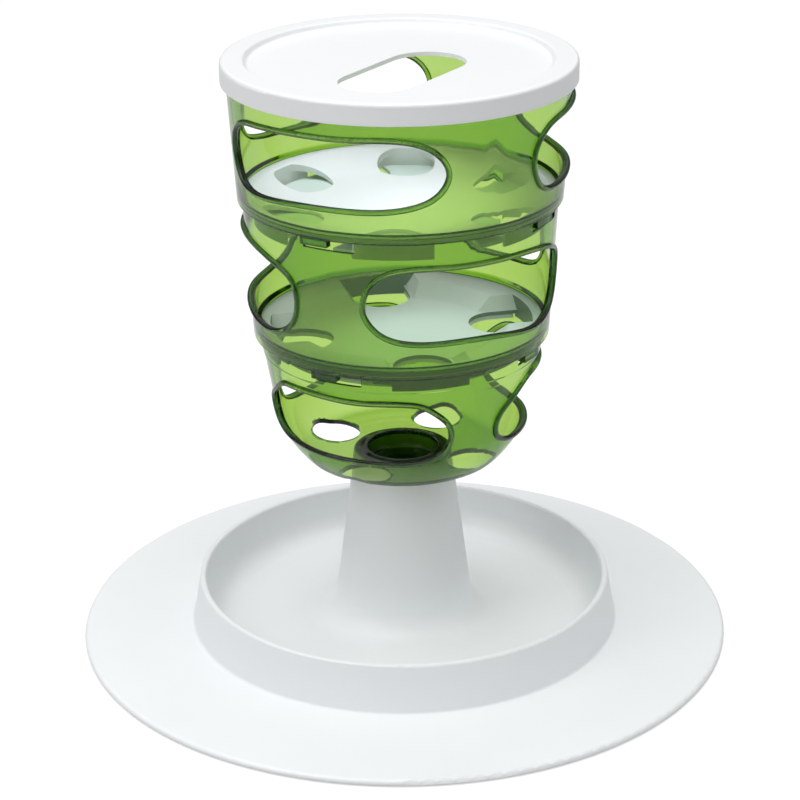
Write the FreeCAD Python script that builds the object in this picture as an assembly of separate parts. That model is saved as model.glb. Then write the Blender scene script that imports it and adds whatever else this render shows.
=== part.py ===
import FreeCAD, Part
import math
import os

# Cat food tree: a wide white tray with a hollow stem, three clear green
# sections that twist onto each other, two white level discs, each with a
# turning shutter under it, and a white lid. Millimetres, +Z up, origin on
# the floor in the middle of the tray. Plan angles run anticlockwise from +X,
# and the front of the tree faces -Y, so the front is at 270 degrees.

FRONT = 270.0

# Fits
GAP = 0.3                 # clearance between seated or turning pieces
PIVOT_GAP = 0.05          # running fit of a shutter on its stub
WALL = 2.0                # wall of the green sections and of the discs

# Rounds on moulded edges
ROUND_FINE = 0.3
ROUND_SMALL = 0.5
ROUND_SOFT = 0.8
ROUND_MEDIUM = 1.2
ROUND_WIDE = 1.5

# Tray and stem, one moulding
RIM_R = 175.0             # outer edge of the skirt
RIM_H = 3.6               # top of the skirt at its outer edge
RIM_LIFT = 0.6            # the pads hold the skirt this far off the floor
RIM_LIP = 3.0             # width of the lip under the outer edge
SKIRT_H = 5.8             # top of the skirt where the ring stands on it
RING_TOP_IN_R = 107.8     # inner edge of the ring's top
RING_TOP_W = 3.3          # width of the ring's top
RING_OUT_LEAN = 4.3       # the ring's outer foot stands this far further out
RING_IN_LEAN = 3.2        # the ring's inner foot stands this far further in
RING_TOP = 31.6           # height of the ring
TRAY_FLOOR = 7.0          # top of the tray's floor
TRAY_FILLET = 13.0        # round between tray floor and ring
STEM_FILLET = 16.0        # round between tray floor and stem
TRAY_WALL = 2.5           # wall of the tray moulding
STEM_TOP = 102.0          # top of the stem
STEM_EDGE = 5.0           # wall round the bore at the stem's top
STEM_TAPER = 0.128        # growth of the stem's radius per mm downwards
SOCKET_R = 21.0           # bore in the stem's top
SOCKET_DEPTH = 18.0
RIM_ROUND = 2.4           # top round of the skirt's outer edge
GROOVE_DEPTH = 6.5        # solid part of the ring's top, over its hollow

# Pads under the skirt
PAD_COUNT = 6
PAD_R = 7.0
PAD_INSET = 25.0          # from the rim to the circle that the pads stand on
PAD_H = 1.6
PAD_BOSS = 1.5            # the boss over a pad is this much wider

# Lower section
CORNER_R = 33.7           # large round between its side and its floor
LOWER_SIDE_R = 66.8       # outer radius of the side at LOWER_SIDE_H
LOWER_SIDE_H = 28.0       # height of that point over the floor's underside
LOWER_TAPER = 0.1733      # growth of the side's radius per mm upwards
SHOULDER_H = 58.0         # height where the side steps out into the neck
LOWER_NECK_OUT = 6.8      # the neck's top is this much wider than that point
LOWER_H = 72.0            # whole height without the plug
NECK_H = 10.0
NECK_DRAFT = 0.5
NECK_ROUND = 3.0          # rounds where the side steps out
PLUG_DEPTH = 16.0         # how far the plug reaches into the stem
CUP_DEPTH = 8.5           # hollow in the middle of the floor, inside the plug
CUP_BEAD = 0.7
FLOOR_HOLES = 4
FLOOR_HOLE_R = 13.0
FLOOR_HOLE_INSET = 26.1   # from the side to the floor holes' centres
FLOOR_HOLE_PLAN = 62.0

# Middle section
MIDDLE_SKIRT_DROP = 1.5   # its skirt hangs this far below the neck's top
MIDDLE_SKIRT_GAP = 1.7    # between the lower neck and its skirt
MIDDLE_FLARE = 3.9        # its top is this much wider than its bottom edge
MIDDLE_H = 73.4

# Upper section
UPPER_SKIRT_DROP = 0.5
UPPER_SKIRT_GAP = 0.5     # between the middle neck and its skirt
UPPER_FLARE = 4.25
UPPER_H = 70.0

# Ledge inside a skirt, which clamps the disc's flange on the neck
LEDGE_BITE = 1.2          # how far it reaches over the flange
LEDGE_H = 1.4

# Twist locks: lugs under a skirt turn into slots in the neck below
LOCK_COUNT = 4
LUG_ARC = 10.5
LUG_H = 3.4
LOCK_DROP = 5.8           # how far a slot reaches below the skirt
LUG_BITE = 1.7            # how far a lug reaches into its slot
LUG_PLAN = 234.0          # where the first lug starts when it is locked
LOCK_TURN = 9.0           # turn that frees the lugs

# Level discs
MIDDLE_RIM_H = 3.0        # flange over the neck's top
MIDDLE_FLOOR_DROP = 7.0   # the floor lies this far below the rim
PLATFORM_W = 17.7         # width of the platforms, from the rim inwards
STEP_W = 9.5              # their slope down to the floor
DROP_HOLES_MIDDLE = 4
DROP_HOLE_R = 15.5
MIDDLE_HOLE_INSET = 22.7  # from the rim to the drop holes' centres
MIDDLE_HOLE_PLAN = 282.0
RAMP_FOOT = 16.4          # half width of the channel at its floor
RAMP_TOP = 21.0           # half width of the channel at the platforms' top
STEP_ROUND = 3.0
MIDDLE_SPIGOT_H = 1.5     # rib under the platforms, inside the neck
UPPER_RIM_H = 2.2
UPPER_RIM_W = 5.6
UPPER_FLOOR_DROP = 7.6
BOWL_W = 27.4             # from the rim to where floor and wall would meet unrounded
BOWL_ROUND = 30.0
RIM_CREASE = 0.8          # fine step between the rim and the bowl
UPPER_SPIGOT_H = 2.0
UPPER_SPIGOT_W = 3.0
DROP_HOLES_UPPER = 6
UPPER_HOLE_INSET = 20.9
UPPER_HOLE_PLAN = 267.0
HOLE_EDGE = 0.6           # between a drop hole's outer end and its baffle
BAFFLE_T = 1.6
MIDDLE_BAFFLE_ARC = 32.2
MIDDLE_BAFFLE_DROP = 12.0 # below the rim's top
UPPER_BAFFLE_ARC = 30.5
UPPER_BAFFLE_DROP = 12.4
UPPER_BAFFLE_SET = 2.4    # the upper baffles stand this far inside the spigot

# Shutters
STUB_R = 4.0
STUB_HEAD_R = 5.3
STUB_HEAD_H = 1.8
STUB_CHAMFER = 0.8
BLADE_T = 2.0
SHUTTER_EDGE_GAP = 2.7    # between the blades' ends and the baffles
GRIP_R = 30.0             # the grips start here
UPPER_SHUTTER_TURN = 23.0 # from open to where it stands
GRIP_L = 14.0
GRIP_T = 2.0
GRIP_H = 3.0

# Lid
LID_SKIRT_T = 2.05
LID_H = 11.1
LID_T = 2.2
LID_RIM_W = 12.0          # width of the rim round the recess
LID_RECESS = 2.8
LID_ROUND = 2.0
RECESS_LEAN = 1.2         # the recess is this much narrower at its foot
RECESS_ROUND = 1.6
SLOT_R = 19.8
SLOT_REACH = 44.7         # distance between the slot's end centres
SLOT_X = 14.0
SLOT_Y = -2.3
SLOT_PLAN = 237.0         # direction of the slot from that first centre

# Windows: three in each section. Points are azimuth from the front, to the
# right, and height over the section's bottom edge.
WINDOWS = 3
BEAD_R = 1.5
BEAD_OUT = 0.5            # the bead's centre stands this far off the wall
UPPER_WINDOW = [
    (-70.9, 36.0), (-69.6, 25.5), (-65.5, 18.4), (-57.5, 15.4), (-39.6, 16.4),
    (-18.0, 17.0), (3.5, 19.4), (12.2, 25.3), (15.6, 35.0), (12.6, 44.8),
    (4.0, 51.9), (-14.0, 53.2), (-36.0, 52.8), (-54.0, 51.6), (-65.6, 47.6),
]
MIDDLE_WINDOW = [
    (-13.9, 38.4), (-12.6, 46.6), (-8.0, 55.0), (0.0, 59.0), (17.0, 59.6),
    (36.0, 59.2), (54.0, 57.9), (70.0, 53.2), (78.2, 46.2), (79.6, 35.4),
    (76.7, 24.3), (69.3, 17.2), (56.6, 15.0), (38.0, 18.2), (18.0, 19.6),
    (2.4, 20.4), (-6.5, 24.0), (-11.8, 30.6),
]
LOWER_WINDOW = [
    (-53.6, 55.6), (-36.0, 56.0), (-18.0, 55.6), (0.0, 55.9), (7.6, 54.2),
    (14.6, 48.4), (19.6, 41.6), (21.0, 35.8), (19.4, 28.4), (13.4, 22.8),
    (3.5, 20.2), (-18.0, 20.1), (-40.0, 20.2), (-56.0, 21.0), (-68.0, 23.4),
    (-75.0, 29.4), (-75.4, 37.6), (-67.4, 47.2),
]

# Sizes that follow from the ones above
RING_TOP_OUT_R = RING_TOP_IN_R + RING_TOP_W
RING_FOOT_R = RING_TOP_OUT_R + RING_OUT_LEAN
RING_IN_FOOT_R = RING_TOP_IN_R - RING_IN_LEAN
STEM_TOP_R = SOCKET_R + STEM_EDGE
PAD_PITCH_R = RIM_R - PAD_INSET
PLUG_R = SOCKET_R - GAP
LOWER_NECK_R = LOWER_SIDE_R + LOWER_NECK_OUT
FLOOR_HOLE_PITCH_R = LOWER_SIDE_R - FLOOR_HOLE_INSET
MIDDLE_BOTTOM_R = LOWER_NECK_R + MIDDLE_SKIRT_GAP + WALL
MIDDLE_TOP_R = MIDDLE_BOTTOM_R + MIDDLE_FLARE
UPPER_BOTTOM_R = MIDDLE_TOP_R + UPPER_SKIRT_GAP + WALL
UPPER_TOP_R = UPPER_BOTTOM_R + UPPER_FLARE
MIDDLE_RIM_R = MIDDLE_BOTTOM_R - WALL - 2 * GAP
UPPER_RIM_R = UPPER_BOTTOM_R - WALL - GAP
STEP_TOP_R = MIDDLE_RIM_R - PLATFORM_W
STEP_FOOT_R = STEP_TOP_R - STEP_W
MIDDLE_HOLE_PITCH_R = MIDDLE_RIM_R - MIDDLE_HOLE_INSET
BOWL_FOOT_R = UPPER_RIM_R - BOWL_W
UPPER_HOLE_PITCH_R = UPPER_RIM_R - UPPER_HOLE_INSET
MIDDLE_SPIGOT_R = LOWER_NECK_R - WALL - NECK_DRAFT - GAP
UPPER_SPIGOT_R = MIDDLE_TOP_R - WALL - NECK_DRAFT - GAP
MIDDLE_BAFFLE_R = MIDDLE_SPIGOT_R - BAFFLE_T
UPPER_BAFFLE_R = UPPER_SPIGOT_R - BAFFLE_T - UPPER_BAFFLE_SET
MIDDLE_SHUTTER_R = MIDDLE_BAFFLE_R - SHUTTER_EDGE_GAP
UPPER_SHUTTER_R = UPPER_BAFFLE_R - SHUTTER_EDGE_GAP
LID_R = UPPER_TOP_R + GAP + LID_SKIRT_T
LID_RECESS_R = LID_R - LID_RIM_W
NECK_TOP_LOWER = STEM_TOP + LOWER_H
MIDDLE_BOTTOM = NECK_TOP_LOWER - MIDDLE_SKIRT_DROP
NECK_TOP_MIDDLE = MIDDLE_BOTTOM + MIDDLE_H
UPPER_BOTTOM = NECK_TOP_MIDDLE - UPPER_SKIRT_DROP
UPPER_TOP = UPPER_BOTTOM + UPPER_H
MIDDLE_RIM_TOP = NECK_TOP_LOWER + MIDDLE_RIM_H
UPPER_RIM_TOP = NECK_TOP_MIDDLE + UPPER_RIM_H
MIDDLE_FLOOR = MIDDLE_RIM_TOP - MIDDLE_FLOOR_DROP
UPPER_FLOOR = UPPER_RIM_TOP - UPPER_FLOOR_DROP


def vec(x, y, z):
    return FreeCAD.Vector(x, y, z)


AXIS = vec(0, 0, 1)
ORIGIN = vec(0, 0, 0)


def ring_points(count, first):
    """Plan angles of count equal places, starting at first."""
    return [first + 360.0 * i / count for i in range(count)]


def at_plan(radius, plan, height):
    angle = math.radians(plan)
    return vec(radius * math.cos(angle), radius * math.sin(angle), height)


def half_angle(before, corner, after):
    return (before - corner).getAngle(after - corner) / 2


def corner_arc(before, corner, after, reach):
    """Arc at a corner that starts and ends reach away from it."""
    to_before = (before - corner).normalize()
    to_after = (after - corner).normalize()
    half = half_angle(before, corner, after)
    bisector = (to_before + to_after).normalize()
    middle = corner + bisector * (reach / math.cos(half) - reach * math.tan(half))
    return Part.Arc(corner + to_before * reach, middle, corner + to_after * reach)


def profile_face(points):
    """Closed face in the XZ plane from (r, z, round) corners."""
    corners = [vec(p[0], 0, p[1]) for p in points]
    count = len(points)
    following = corners[1:] + corners[:1]
    reach = [points[i][2] / math.tan(half_angle(corners[i - 1], corners[i], following[i]))
             for i in range(count)]
    for i in range(count):
        after = (i + 1) % count
        room = 0.98 * corners[i].distanceToPoint(following[i])
        shrink = min(1.0, room / max(reach[i] + reach[after], 1e-9))
        reach[i] *= shrink
        reach[after] *= shrink
    edges = []
    here = corners[0] + (following[0] - corners[0]).normalize() * reach[0]
    for i in list(range(1, count)) + [0]:
        back = (corners[i - 1] - corners[i]).normalize()
        arrive = corners[i] + back * reach[i]
        edges.append(Part.LineSegment(here, arrive).toShape())
        here = arrive
        if reach[i] > 0:
            arc = corner_arc(corners[i - 1], corners[i], following[i], reach[i])
            edges.append(arc.toShape())
            here = arc.EndPoint
    return Part.Face(Part.Wire(edges))


def turned(points):
    """Solid of revolution about Z from a closed (r, z, round) profile."""
    return profile_face(points).revolve(ORIGIN, AXIS, 360)


def turned_block(points, plan_from, plan_to):
    """Part of a turned solid between two plan angles, from (r, z) corners."""
    corners = [vec(radius, 0, height) for radius, height in points]
    face = Part.Face(Part.makePolygon(corners + corners[:1]))
    block = face.revolve(ORIGIN, AXIS, plan_to - plan_from)
    block.rotate(ORIGIN, AXIS, plan_from)
    return block


def polar_block(r_in, r_out, low, high, plan_from, plan_to):
    """Block between two radii, two heights and two plan angles."""
    return turned_block([(r_in, low), (r_out, low), (r_out, high), (r_in, high)],
                        plan_from, plan_to)


def post(radius, x, y, low, high):
    return Part.makeCylinder(radius, high - low, vec(x, y, low))


def export(name, shape):
    shape.exportStep("parts/" + name + ".step")
    solids = len(shape.Solids)
    print(name, "solids", solids, "valid", shape.isValid(), "volume", round(shape.Volume))


# Tray, ring and stem
def stem_radius(height):
    return STEM_TOP_R + (STEM_TOP - height) * STEM_TAPER


def make_base_tray():
    under_floor = TRAY_FLOOR - TRAY_WALL
    under_skirt = SKIRT_H - TRAY_WALL
    rim_under = RIM_H - TRAY_WALL
    socket_low = STEM_TOP - SOCKET_DEPTH
    groove_r = (RING_TOP_OUT_R + RING_TOP_IN_R) / 2
    groove_top = RING_TOP - GROOVE_DEPTH
    tray = turned([
        (SOCKET_R, STEM_TOP, ROUND_SMALL),
        (STEM_TOP_R, STEM_TOP, ROUND_MEDIUM),
        (stem_radius(TRAY_FLOOR), TRAY_FLOOR, STEM_FILLET),
        (RING_IN_FOOT_R, TRAY_FLOOR, TRAY_FILLET),
        (RING_TOP_IN_R, RING_TOP, ROUND_WIDE),
        (RING_TOP_OUT_R, RING_TOP, ROUND_WIDE),
        (RING_FOOT_R, SKIRT_H, ROUND_WIDE),
        (RIM_R, RIM_H, RIM_ROUND),
        (RIM_R, RIM_LIFT, ROUND_SOFT),
        (RIM_R - RIM_LIP, RIM_LIFT, ROUND_FINE),
        (RIM_R - RIM_LIP, rim_under, ROUND_FINE),
        (RING_FOOT_R - TRAY_WALL, under_skirt, ROUND_MEDIUM),
        (groove_r + ROUND_SMALL, groove_top, ROUND_SMALL),
        (groove_r - ROUND_SMALL, groove_top, ROUND_SMALL),
        (RING_IN_FOOT_R + TRAY_WALL, under_floor, TRAY_FILLET + TRAY_WALL),
        (stem_radius(under_floor) - TRAY_WALL, under_floor, STEM_FILLET + TRAY_WALL),
        (stem_radius(socket_low) - TRAY_WALL, socket_low - 2 * TRAY_WALL, ROUND_MEDIUM),
        (SOCKET_R, socket_low, ROUND_SMALL),
    ])
    for plan in ring_points(PAD_COUNT, FRONT):
        seat = at_plan(PAD_PITCH_R, plan, 0)
        tray = tray.fuse(post(PAD_R + PAD_BOSS, seat.x, seat.y, PAD_H, under_skirt))
    return tray.removeSplitter()


def make_rubber_pads():
    pads = []
    for plan in ring_points(PAD_COUNT, FRONT):
        seat = at_plan(PAD_PITCH_R, plan, 0)
        pad = post(PAD_R, seat.x, seat.y, 0, PAD_H)
        foot = [edge for edge in pad.Edges if edge.BoundBox.ZMax < PAD_H / 2]
        pads.append(pad.makeFillet(ROUND_SMALL, foot))
    return Part.makeCompound(pads)


# Windows and their beads
def window_curve(outline, bottom, radius_at):
    """Closed smooth curve round a window at the radius given for each height."""
    points = [at_plan(radius_at(bottom + height), FRONT + azimuth, bottom + height)
              for azimuth, height in outline]
    curve = Part.BSplineCurve()
    curve.interpolate(points, PeriodicFlag=True)
    return curve


def window_bead(line, start, end):
    """Round bead along one part of a window's edge line."""
    circle = Part.Circle(line.value(start), vec(*line.tangent(start)[0]), BEAD_R)
    path = Part.Wire([line.toShape(start, end)])
    return path.makePipeShell([Part.Wire([circle.toShape()])], True, True)


def windowed_ring(points, outline, bottom, wall_radius):
    """One window's share of a turned wall, opened, beaded and repeated round the axis."""
    share = 360.0 / WINDOWS
    azimuths = [azimuth for azimuth, height in outline]
    wall = profile_face(points).revolve(ORIGIN, AXIS, share)
    wall.rotate(ORIGIN, AXIS, FRONT + (min(azimuths) + max(azimuths) - share) / 2)
    inner = window_curve(outline, bottom, lambda height: wall_radius(height) - 3 * WALL)
    outer = window_curve(outline, bottom, lambda height: wall_radius(height) + 3 * WALL)
    sheet = Part.makeRuledSurface(inner.toShape(), outer.toShape())
    wall = max(wall.generalFuse([sheet])[0].Solids, key=lambda piece: piece.Volume)
    line = window_curve(outline, bottom, lambda height: wall_radius(height) + BEAD_OUT)
    first = line.FirstParameter
    last = line.LastParameter
    middle = (first + last) / 2
    wall = wall.fuse(window_bead(line, first, middle)).fuse(window_bead(line, middle, last))
    ring = wall
    for turn in ring_points(WINDOWS, 0.0)[1:]:
        repeat = wall.copy()
        repeat.rotate(ORIGIN, AXIS, turn)
        ring = ring.fuse(repeat)
    return ring.removeSplitter()


# Twist locks
def add_lugs(section, bottom, skirt_r, neck_r):
    """Lugs under the skirt that reach into the slots of the neck below."""
    low = bottom - LUG_H
    for start in ring_points(LOCK_COUNT, LUG_PLAN):
        end = start + LUG_ARC
        tooth = polar_block(neck_r - LUG_BITE, skirt_r, low, bottom - GAP, start, end)
        root = polar_block(skirt_r - WALL, skirt_r, low, bottom + WALL / 2, start, end)
        section = section.fuse(tooth).fuse(root)
    return section


def cut_lock_slots(section, bottom, neck_top, neck_r):
    """Slots for the lugs, open to the neck's top where the lugs drop in."""
    low = bottom - LOCK_DROP
    side = math.degrees(GAP / neck_r)
    r_in = neck_r - 2 * WALL
    r_out = neck_r + WALL
    for start in ring_points(LOCK_COUNT, LUG_PLAN):
        end = start + LUG_ARC + LOCK_TURN + side
        run = polar_block(r_in, r_out, low, bottom, start - side, end)
        entry = polar_block(r_in, r_out, low, neck_top + WALL, start + LOCK_TURN - side, end)
        section = section.cut(run).cut(entry)
    return section


# Lower section
def lower_radius(height):
    """Outer radius of the side, in its corner round or above it."""
    rise = height - STEM_TOP
    if rise < LOWER_SIDE_H:
        centre = LOWER_SIDE_R - CORNER_R * math.cos(math.atan(LOWER_TAPER))
        return centre + math.sqrt(CORNER_R ** 2 - (CORNER_R - rise) ** 2)
    return LOWER_SIDE_R + (rise - LOWER_SIDE_H) * LOWER_TAPER


def make_lower_section():
    low = STEM_TOP
    floor_top = low + WALL
    corner_out = LOWER_SIDE_R - LOWER_SIDE_H * LOWER_TAPER
    shoulder = low + SHOULDER_H
    shoulder_r = LOWER_SIDE_R + (SHOULDER_H - LOWER_SIDE_H) * LOWER_TAPER
    neck_low_r = LOWER_NECK_R - NECK_DRAFT
    neck_low = NECK_TOP_LOWER - NECK_H
    wall = windowed_ring([
        (PLUG_R - WALL, low - PLUG_DEPTH, ROUND_SMALL),
        (PLUG_R, low - PLUG_DEPTH, ROUND_SOFT),
        (PLUG_R, low, 0),
        (corner_out, low, CORNER_R),
        (shoulder_r, shoulder, NECK_ROUND),
        (neck_low_r, neck_low, NECK_ROUND),
        (LOWER_NECK_R, NECK_TOP_LOWER, ROUND_SMALL),
        (LOWER_NECK_R - WALL, NECK_TOP_LOWER, ROUND_SMALL),
        (neck_low_r - WALL, neck_low, NECK_ROUND),
        (shoulder_r - WALL, shoulder, NECK_ROUND),
        (corner_out - WALL, floor_top, CORNER_R - WALL),
        (PLUG_R + WALL, floor_top, ROUND_SMALL),
        (PLUG_R, floor_top + CUP_BEAD, ROUND_SOFT),
        (PLUG_R - WALL, floor_top + CUP_BEAD, ROUND_SOFT),
        (PLUG_R - WALL, floor_top - CUP_DEPTH, WALL),
        (0, floor_top - CUP_DEPTH, 0),
        (0, floor_top - CUP_DEPTH - WALL, 0),
        (PLUG_R - WALL, floor_top - CUP_DEPTH - WALL, ROUND_SMALL),
    ], LOWER_WINDOW, low, lower_radius)
    for plan in ring_points(FLOOR_HOLES, FLOOR_HOLE_PLAN):
        hole = at_plan(FLOOR_HOLE_PITCH_R, plan, 0)
        wall = wall.cut(post(FLOOR_HOLE_R, hole.x, hole.y, low - WALL, low + CORNER_R))
    return cut_lock_slots(wall, MIDDLE_BOTTOM, NECK_TOP_LOWER, LOWER_NECK_R)


# Middle and upper sections
def straight_radius(low, low_r, high, high_r):
    """Outer radius of a straight tapered wall at a height."""
    return lambda height: low_r + (high_r - low_r) * (height - low) / (high - low)


def make_ring_wall(low, low_r, high, high_r, rim_top, rim_r, outline):
    """Tapered ring with windows and a ledge inside that rests on the disc's rim."""
    outer = straight_radius(low, low_r, high, high_r)
    ledge_top = rim_top + 2 * LEDGE_H
    ledge_r = rim_r - LEDGE_BITE
    return windowed_ring([
        (low_r - WALL, low, ROUND_SMALL),
        (low_r, low, ROUND_SOFT),
        (high_r, high, ROUND_SOFT),
        (high_r - WALL, high, ROUND_SOFT),
        (outer(ledge_top) - WALL, ledge_top, ROUND_SMALL),
        (ledge_r, rim_top + LEDGE_H, ROUND_FINE),
        (ledge_r, rim_top, ROUND_FINE),
        (outer(rim_top) - WALL, rim_top, 0),
    ], outline, low, outer)


def make_middle_section():
    wall = make_ring_wall(MIDDLE_BOTTOM, MIDDLE_BOTTOM_R, NECK_TOP_MIDDLE, MIDDLE_TOP_R,
                          MIDDLE_RIM_TOP, MIDDLE_RIM_R, MIDDLE_WINDOW)
    wall = add_lugs(wall, MIDDLE_BOTTOM, MIDDLE_BOTTOM_R, LOWER_NECK_R)
    return cut_lock_slots(wall, UPPER_BOTTOM, NECK_TOP_MIDDLE, MIDDLE_TOP_R)


def make_upper_section():
    wall = make_ring_wall(UPPER_BOTTOM, UPPER_BOTTOM_R, UPPER_TOP, UPPER_TOP_R,
                          UPPER_RIM_TOP, UPPER_RIM_R, UPPER_WINDOW)
    return add_lugs(wall, UPPER_BOTTOM, UPPER_BOTTOM_R, MIDDLE_TOP_R)


# Level discs
def add_stub(disc, under):
    """Stub under a disc, with a head that the shutter snaps over."""
    length = BLADE_T + 2 * GAP
    stub = post(STUB_R, 0, 0, under - length, under)
    head = post(STUB_HEAD_R, 0, 0, under - length - STUB_HEAD_H, under - length)
    foot = [edge for edge in head.Edges if edge.BoundBox.ZMax < under - length - STUB_HEAD_H / 2]
    head = head.makeChamfer(STUB_CHAMFER, foot)
    return disc.fuse(stub).fuse(head)


def radial_slot(radius, pitch_r, out_r, low, high, plan):
    """Round-ended cut at pitch_r that runs straight out to out_r."""
    run = Part.makeBox(out_r - pitch_r, 2 * radius, high - low, vec(pitch_r, -radius, low))
    slot = post(radius, pitch_r, 0, low, high).fuse(run)
    slot = slot.common(post(out_r, 0, 0, low, high))
    slot.rotate(ORIGIN, AXIS, plan)
    return slot


def ramped_channel(floor, top, r_in, r_out, plan):
    """Wedge that widens upwards, cut between two raised platforms."""
    slope = (RAMP_TOP - RAMP_FOOT) / (top - floor)
    high = top + WALL
    wide = RAMP_TOP + slope * WALL
    corners = [vec(r_in, -RAMP_FOOT, floor), vec(r_in, RAMP_FOOT, floor),
               vec(r_in, wide, high), vec(r_in, -wide, high)]
    face = Part.Face(Part.makePolygon(corners + corners[:1]))
    channel = face.extrude(vec(r_out + WALL - r_in, 0, 0)).common(post(r_out, 0, 0, floor, high))
    channel.rotate(ORIGIN, AXIS, plan)
    return channel


def platform_hollow(floor, top, r_out, plan_from, plan_to):
    """Space under a platform and under its slope, an even wall below both."""
    slope = STEP_W / (top - floor)
    inner = STEP_FOOT_R + WALL * math.hypot(1, slope)
    low = floor - 2 * WALL
    high = top - WALL
    return turned_block([(inner + (low - floor) * slope, low), (r_out, low), (r_out, high),
                         (inner + (high - floor) * slope, high)], plan_from, plan_to)


def add_baffles(disc, places, arc, r_in, low, high):
    for plan in places:
        disc = disc.fuse(polar_block(r_in, r_in + BAFFLE_T, low, high,
                                     plan - arc / 2, plan + arc / 2))
    return disc


def make_middle_level_disc():
    top = MIDDLE_RIM_TOP
    floor = MIDDLE_FLOOR
    under = floor - WALL
    neck_top = NECK_TOP_LOWER
    hole_end = MIDDLE_BAFFLE_R - HOLE_EDGE
    disc = turned([
        (0, floor, 0),
        (STEP_FOOT_R, floor, STEP_ROUND),
        (STEP_TOP_R, top, STEP_ROUND),
        (MIDDLE_RIM_R, top, ROUND_SMALL),
        (MIDDLE_RIM_R, neck_top, ROUND_SMALL),
        (MIDDLE_SPIGOT_R, neck_top, 0),
        (MIDDLE_SPIGOT_R, under, ROUND_SOFT),
        (0, under, 0),
    ])
    places = ring_points(DROP_HOLES_MIDDLE, MIDDLE_HOLE_PLAN)
    step = 360.0 / DROP_HOLES_MIDDLE
    channel_arc = math.degrees(math.asin((RAMP_TOP + WALL) / STEP_TOP_R))
    for plan in places:
        disc = disc.cut(ramped_channel(floor, top, STEP_FOOT_R - WALL, hole_end, plan))
        disc = disc.cut(radial_slot(DROP_HOLE_R, MIDDLE_HOLE_PITCH_R, hole_end,
                                    under - WALL, top + WALL, plan))
        start = plan + channel_arc
        end = plan + step - channel_arc
        disc = disc.cut(platform_hollow(floor, top, hole_end, start, end))
        disc = disc.cut(polar_block(hole_end - WALL, MIDDLE_SPIGOT_R + WALL, under - WALL,
                                    neck_top - MIDDLE_SPIGOT_H, start, end))
    disc = add_baffles(disc, places, MIDDLE_BAFFLE_ARC, MIDDLE_BAFFLE_R,
                       top - MIDDLE_BAFFLE_DROP, neck_top)
    return add_stub(disc, under)


def make_upper_level_disc():
    top = UPPER_RIM_TOP
    floor = UPPER_FLOOR
    under = floor - WALL
    neck_top = NECK_TOP_MIDDLE
    rim_in = UPPER_RIM_R - UPPER_RIM_W
    spigot_low = neck_top - UPPER_SPIGOT_H
    disc = turned([
        (0, floor, 0),
        (BOWL_FOOT_R, floor, BOWL_ROUND),
        (rim_in, top - RIM_CREASE, ROUND_WIDE),
        (rim_in + RIM_CREASE, top, ROUND_SMALL),
        (UPPER_RIM_R, top, ROUND_SMALL),
        (UPPER_RIM_R, neck_top, ROUND_SMALL),
        (UPPER_SPIGOT_R, neck_top, 0),
        (UPPER_SPIGOT_R, spigot_low, ROUND_SMALL),
        (UPPER_SPIGOT_R - UPPER_SPIGOT_W, spigot_low - ROUND_SMALL, ROUND_MEDIUM),
        (BOWL_FOOT_R, under, BOWL_ROUND + WALL),
        (0, under, 0),
    ])
    places = ring_points(DROP_HOLES_UPPER, UPPER_HOLE_PLAN)
    for plan in places:
        hole = at_plan(UPPER_HOLE_PITCH_R, plan, 0)
        reach = post(DROP_HOLE_R, hole.x, hole.y, under - WALL, top + WALL)
        disc = disc.cut(reach.common(post(UPPER_BAFFLE_R, 0, 0, under - WALL, top + WALL)))
    disc = add_baffles(disc, places, UPPER_BAFFLE_ARC, UPPER_BAFFLE_R,
                       top - UPPER_BAFFLE_DROP, neck_top - WALL / 2)
    return add_stub(disc, under)


# Shutters
def make_shutter(under, outer_r, holes, plan, hole_pitch_r):
    """Fan of blades that turns on the stub under a disc."""
    top = under - GAP
    low = top - BLADE_T
    bore = post(STUB_R + PIVOT_GAP, 0, 0, low - WALL, top + WALL)
    fan = post(outer_r, 0, 0, low, top).cut(bore)
    for place in ring_points(holes, plan):
        fan = fan.cut(radial_slot(DROP_HOLE_R, hole_pitch_r, outer_r + WALL,
                                  low - WALL, top + WALL, place))
    for place in ring_points(2, plan + 180.0 / holes):
        grip = Part.makeBox(GRIP_L, GRIP_T, GRIP_H, vec(GRIP_R, -GRIP_T / 2, low - GRIP_H))
        grip.rotate(ORIGIN, AXIS, place)
        fan = fan.fuse(grip)
    return fan


def make_middle_shutter():
    return make_shutter(MIDDLE_FLOOR - WALL, MIDDLE_SHUTTER_R, DROP_HOLES_MIDDLE,
                        MIDDLE_HOLE_PLAN, MIDDLE_HOLE_PITCH_R)


def make_upper_shutter():
    return make_shutter(UPPER_FLOOR - WALL, UPPER_SHUTTER_R, DROP_HOLES_UPPER,
                        UPPER_HOLE_PLAN + UPPER_SHUTTER_TURN, UPPER_HOLE_PITCH_R)


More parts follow.
